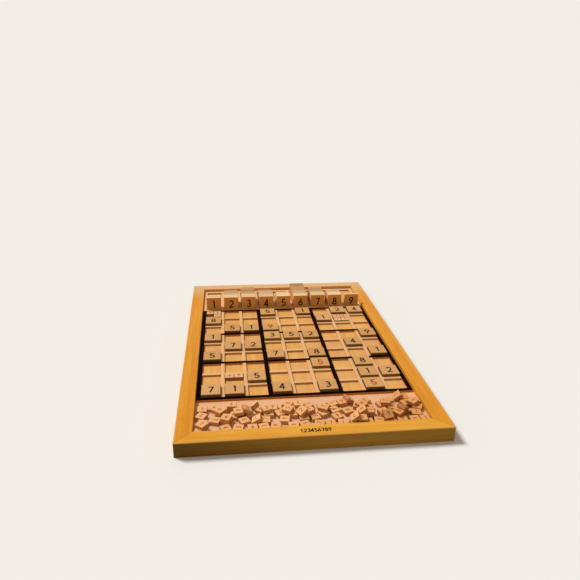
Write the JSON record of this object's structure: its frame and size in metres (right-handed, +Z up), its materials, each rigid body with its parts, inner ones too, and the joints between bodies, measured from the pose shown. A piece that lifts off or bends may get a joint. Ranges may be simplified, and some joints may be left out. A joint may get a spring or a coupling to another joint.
{
  "type": "sudoku board",
  "caption": "Wooden sudoku board with a mitred frame, a lattice of square cells, loose number tiles, a slotted tile rack behind and a tray of small note tiles in front.",
  "frame": {"origin": "under the middle of the frame, on the surface that the board stands on", "axes": "+Y from the front tray to the rack at the back, +X to the right, +Z up"},
  "size_m": [0.2364, 0.3538, 0.0265],
  "materials": {
    "rail_wood": "clear satin lacquer on sanded hardwood",
    "panel_ply": "thin lacquered plywood",
    "nail_steel": "bright steel",
    "strip_wood": "sanded light wood, thin lacquer",
    "black_strip": "wood strip with a black printed top",
    "tile_wood": "sanded wood tile, printed numerals",
    "mini_wood": "sanded pale wood tile, red printed numerals"
  },
  "bodies": {
    "board": {"front_rail": "rail_wood", "back_rail": "rail_wood", "left_rail": "rail_wood", "right_rail": "rail_wood", "base_panel": "panel_ply", "v_nails": "nail_steel", "light_strips_lengthwise": "strip_wood", "light_strips_crosswise": "strip_wood", "rack_lip": "strip_wood", "rack_dividers": "strip_wood", "rack_back_strip": "strip_wood", "black_strips_lengthwise": "black_strip", "black_strips_crosswise": "black_strip", "black_border": "black_strip"},
    "tile_r1c4": {"tile_r1c4": "tile_wood"},
    "tile_r1c6": {"tile_r1c6": "tile_wood"},
    "tile_r1c8": {"tile_r1c8": "tile_wood"},
    "tile_r1c9": {"tile_r1c9": "tile_wood"},
    "tile_r2c1": {"tile_r2c1": "tile_wood"},
    "tile_r2c7": {"tile_r2c7": "tile_wood"},
    "tile_r3c2": {"tile_r3c2": "tile_wood"},
    "tile_r3c3": {"tile_r3c3": "tile_wood"},
    "tile_r3c4": {"tile_r3c4": "tile_wood"},
    "tile_r4c1": {"tile_r4c1": "tile_wood"},
    "tile_r4c4": {"tile_r4c4": "tile_wood"},
    "tile_r4c5": {"tile_r4c5": "tile_wood"},
    "tile_r4c6": {"tile_r4c6": "tile_wood"},
    "tile_r4c9": {"tile_r4c9": "tile_wood"},
    "tile_r5c2": {"tile_r5c2": "tile_wood"},
    "tile_r5c3": {"tile_r5c3": "tile_wood"},
    "tile_r5c8": {"tile_r5c8": "tile_wood"},
    "tile_r6c1": {"tile_r6c1": "tile_wood"},
    "tile_r6c4": {"tile_r6c4": "tile_wood"},
    "tile_r6c6": {"tile_r6c6": "tile_wood"},
    "tile_r6c9": {"tile_r6c9": "tile_wood"},
    "tile_r7c6": {"tile_r7c6": "tile_wood"},
    "tile_r7c8": {"tile_r7c8": "tile_wood"},
    "tile_r8c3": {"tile_r8c3": "tile_wood"},
    "tile_r8c8": {"tile_r8c8": "tile_wood"},
    "tile_r8c9": {"tile_r8c9": "tile_wood"},
    "tile_r9c1": {"tile_r9c1": "tile_wood"},
    "tile_r9c2": {"tile_r9c2": "tile_wood"},
    "tile_r9c4": {"tile_r9c4": "tile_wood"},
    "tile_r9c6": {"tile_r9c6": "tile_wood"},
    "tile_r9c8": {"tile_r9c8": "tile_wood"},
    "rack_stack_1": {"rack_stack_1": "tile_wood"},
    "rack_stack_2": {"rack_stack_2": "tile_wood"},
    "rack_stack_3": {"rack_stack_3": "tile_wood"},
    "rack_stack_4": {"rack_stack_4": "tile_wood"},
    "rack_stack_5": {"rack_stack_5": "tile_wood"},
    "rack_stack_6": {"rack_stack_6": "tile_wood"},
    "rack_stack_7": {"rack_stack_7": "tile_wood"},
    "rack_stack_8": {"rack_stack_8": "tile_wood"},
    "rack_stack_9": {"rack_stack_9": "tile_wood"},
    "minis_r1c1": {"minis_r1c1": "mini_wood"},
    "minis_r2c8": {"minis_r2c8": "mini_wood"},
    "minis_r8c2": {"minis_r8c2": "mini_wood"},
    "tray_minis_floor": {"tray_minis_floor": "mini_wood"},
    "tray_minis_upper": {"tray_minis_upper": "mini_wood"},
    "tray_minis_leaning": {"tray_minis_leaning": "mini_wood"}
  },
  "joints": [
    {"name": "lift_r1c4", "type": "slide", "parent": "board", "child": "tile_r1c4", "axis": [0, 0, 1], "range_m": [0, 0.03]},
    {"name": "lift_r1c6", "type": "slide", "parent": "board", "child": "tile_r1c6", "axis": [0, 0, 1], "range_m": [0, 0.03]},
    {"name": "lift_r1c8", "type": "slide", "parent": "board", "child": "tile_r1c8", "axis": [0, 0, 1], "range_m": [0, 0.03]},
    {"name": "lift_r1c9", "type": "slide", "parent": "board", "child": "tile_r1c9", "axis": [0, 0, 1], "range_m": [0, 0.03]},
    {"name": "lift_r2c1", "type": "slide", "parent": "board", "child": "tile_r2c1", "axis": [0, 0, 1], "range_m": [0, 0.03]},
    {"name": "lift_r2c7", "type": "slide", "parent": "board", "child": "tile_r2c7", "axis": [0, 0, 1], "range_m": [0, 0.03]},
    {"name": "lift_r3c2", "type": "slide", "parent": "board", "child": "tile_r3c2", "axis": [0, 0, 1], "range_m": [0, 0.03]},
    {"name": "lift_r3c3", "type": "slide", "parent": "board", "child": "tile_r3c3", "axis": [0, 0, 1], "range_m": [0, 0.03]},
    {"name": "lift_r3c4", "type": "slide", "parent": "board", "child": "tile_r3c4", "axis": [0, 0, 1], "range_m": [0, 0.03]},
    {"name": "lift_r4c1", "type": "slide", "parent": "board", "child": "tile_r4c1", "axis": [0, 0, 1], "range_m": [0, 0.03]},
    {"name": "lift_r4c4", "type": "slide", "parent": "board", "child": "tile_r4c4", "axis": [0, 0, 1], "range_m": [0, 0.03]},
    {"name": "lift_r4c5", "type": "slide", "parent": "board", "child": "tile_r4c5", "axis": [0, 0, 1], "range_m": [0, 0.03]},
    {"name": "lift_r4c6", "type": "slide", "parent": "board", "child": "tile_r4c6", "axis": [0, 0, 1], "range_m": [0, 0.03]},
    {"name": "lift_r4c9", "type": "slide", "parent": "board", "child": "tile_r4c9", "axis": [0, 0, 1], "range_m": [0, 0.03]},
    {"name": "lift_r5c2", "type": "slide", "parent": "board", "child": "tile_r5c2", "axis": [0, 0, 1], "range_m": [0, 0.03]},
    {"name": "lift_r5c3", "type": "slide", "parent": "board", "child": "tile_r5c3", "axis": [0, 0, 1], "range_m": [0, 0.03]},
    {"name": "lift_r5c8", "type": "slide", "parent": "board", "child": "tile_r5c8", "axis": [0, 0, 1], "range_m": [0, 0.03]},
    {"name": "lift_r6c1", "type": "slide", "parent": "board", "child": "tile_r6c1", "axis": [0, 0, 1], "range_m": [0, 0.03]},
    {"name": "lift_r6c4", "type": "slide", "parent": "board", "child": "tile_r6c4", "axis": [0, 0, 1], "range_m": [0, 0.03]},
    {"name": "lift_r6c6", "type": "slide", "parent": "board", "child": "tile_r6c6", "axis": [0, 0, 1], "range_m": [0, 0.03]},
    {"name": "lift_r6c9", "type": "slide", "parent": "board", "child": "tile_r6c9", "axis": [0, 0, 1], "range_m": [0, 0.03]},
    {"name": "lift_r7c6", "type": "slide", "parent": "board", "child": "tile_r7c6", "axis": [0, 0, 1], "range_m": [0, 0.03]},
    {"name": "lift_r7c8", "type": "slide", "parent": "board", "child": "tile_r7c8", "axis": [0, 0, 1], "range_m": [0, 0.03]},
    {"name": "lift_r8c3", "type": "slide", "parent": "board", "child": "tile_r8c3", "axis": [0, 0, 1], "range_m": [0, 0.03]},
    {"name": "lift_r8c8", "type": "slide", "parent": "board", "child": "tile_r8c8", "axis": [0, 0, 1], "range_m": [0, 0.03]},
    {"name": "lift_r8c9", "type": "slide", "parent": "board", "child": "tile_r8c9", "axis": [0, 0, 1], "range_m": [0, 0.03]},
    {"name": "lift_r9c1", "type": "slide", "parent": "board", "child": "tile_r9c1", "axis": [0, 0, 1], "range_m": [0, 0.03]},
    {"name": "lift_r9c2", "type": "slide", "parent": "board", "child": "tile_r9c2", "axis": [0, 0, 1], "range_m": [0, 0.03]},
    {"name": "lift_r9c4", "type": "slide", "parent": "board", "child": "tile_r9c4", "axis": [0, 0, 1], "range_m": [0, 0.03]},
    {"name": "lift_r9c6", "type": "slide", "parent": "board", "child": "tile_r9c6", "axis": [0, 0, 1], "range_m": [0, 0.03]},
    {"name": "lift_r9c8", "type": "slide", "parent": "board", "child": "tile_r9c8", "axis": [0, 0, 1], "range_m": [0, 0.03]},
    {"name": "lift_stack_1", "type": "slide", "parent": "board", "child": "rack_stack_1", "axis": [0, 0, 1], "range_m": [0, 0.03]},
    {"name": "lift_stack_2", "type": "slide", "parent": "board", "child": "rack_stack_2", "axis": [0, 0, 1], "range_m": [0, 0.03]},
    {"name": "lift_stack_3", "type": "slide", "parent": "board", "child": "rack_stack_3", "axis": [0, 0, 1], "range_m": [0, 0.03]},
    {"name": "lift_stack_4", "type": "slide", "parent": "board", "child": "rack_stack_4", "axis": [0, 0, 1], "range_m": [0, 0.03]},
    {"name": "lift_stack_5", "type": "slide", "parent": "board", "child": "rack_stack_5", "axis": [0, 0, 1], "range_m": [0, 0.03]},
    {"name": "lift_stack_6", "type": "slide", "parent": "board", "child": "rack_stack_6", "axis": [0, 0, 1], "range_m": [0, 0.03]},
    {"name": "lift_stack_7", "type": "slide", "parent": "board", "child": "rack_stack_7", "axis": [0, 0, 1], "range_m": [0, 0.03]},
    {"name": "lift_stack_8", "type": "slide", "parent": "board", "child": "rack_stack_8", "axis": [0, 0, 1], "range_m": [0, 0.03]},
    {"name": "lift_stack_9", "type": "slide", "parent": "board", "child": "rack_stack_9", "axis": [0, 0, 1], "range_m": [0, 0.03]},
    {"name": "lift_minis_r1c1", "type": "slide", "parent": "board", "child": "minis_r1c1", "axis": [0, 0, 1], "range_m": [0, 0.03]},
    {"name": "lift_minis_r2c8", "type": "slide", "parent": "board", "child": "minis_r2c8", "axis": [0, 0, 1], "range_m": [0, 0.03]},
    {"name": "lift_minis_r8c2", "type": "slide", "parent": "board", "child": "minis_r8c2", "axis": [0, 0, 1], "range_m": [0, 0.03]},
    {"name": "lift_tray_floor", "type": "slide", "parent": "board", "child": "tray_minis_floor", "axis": [0, 0, 1], "range_m": [0, 0.03]},
    {"name": "lift_tray_upper", "type": "slide", "parent": "tray_minis_floor", "child": "tray_minis_upper", "axis": [0, 0, 1], "range_m": [0, 0.03]},
    {"name": "lift_tray_leaning", "type": "slide", "parent": "tray_minis_upper", "child": "tray_minis_leaning", "axis": [0, 0, 1], "range_m": [0, 0.03]}
  ]
}
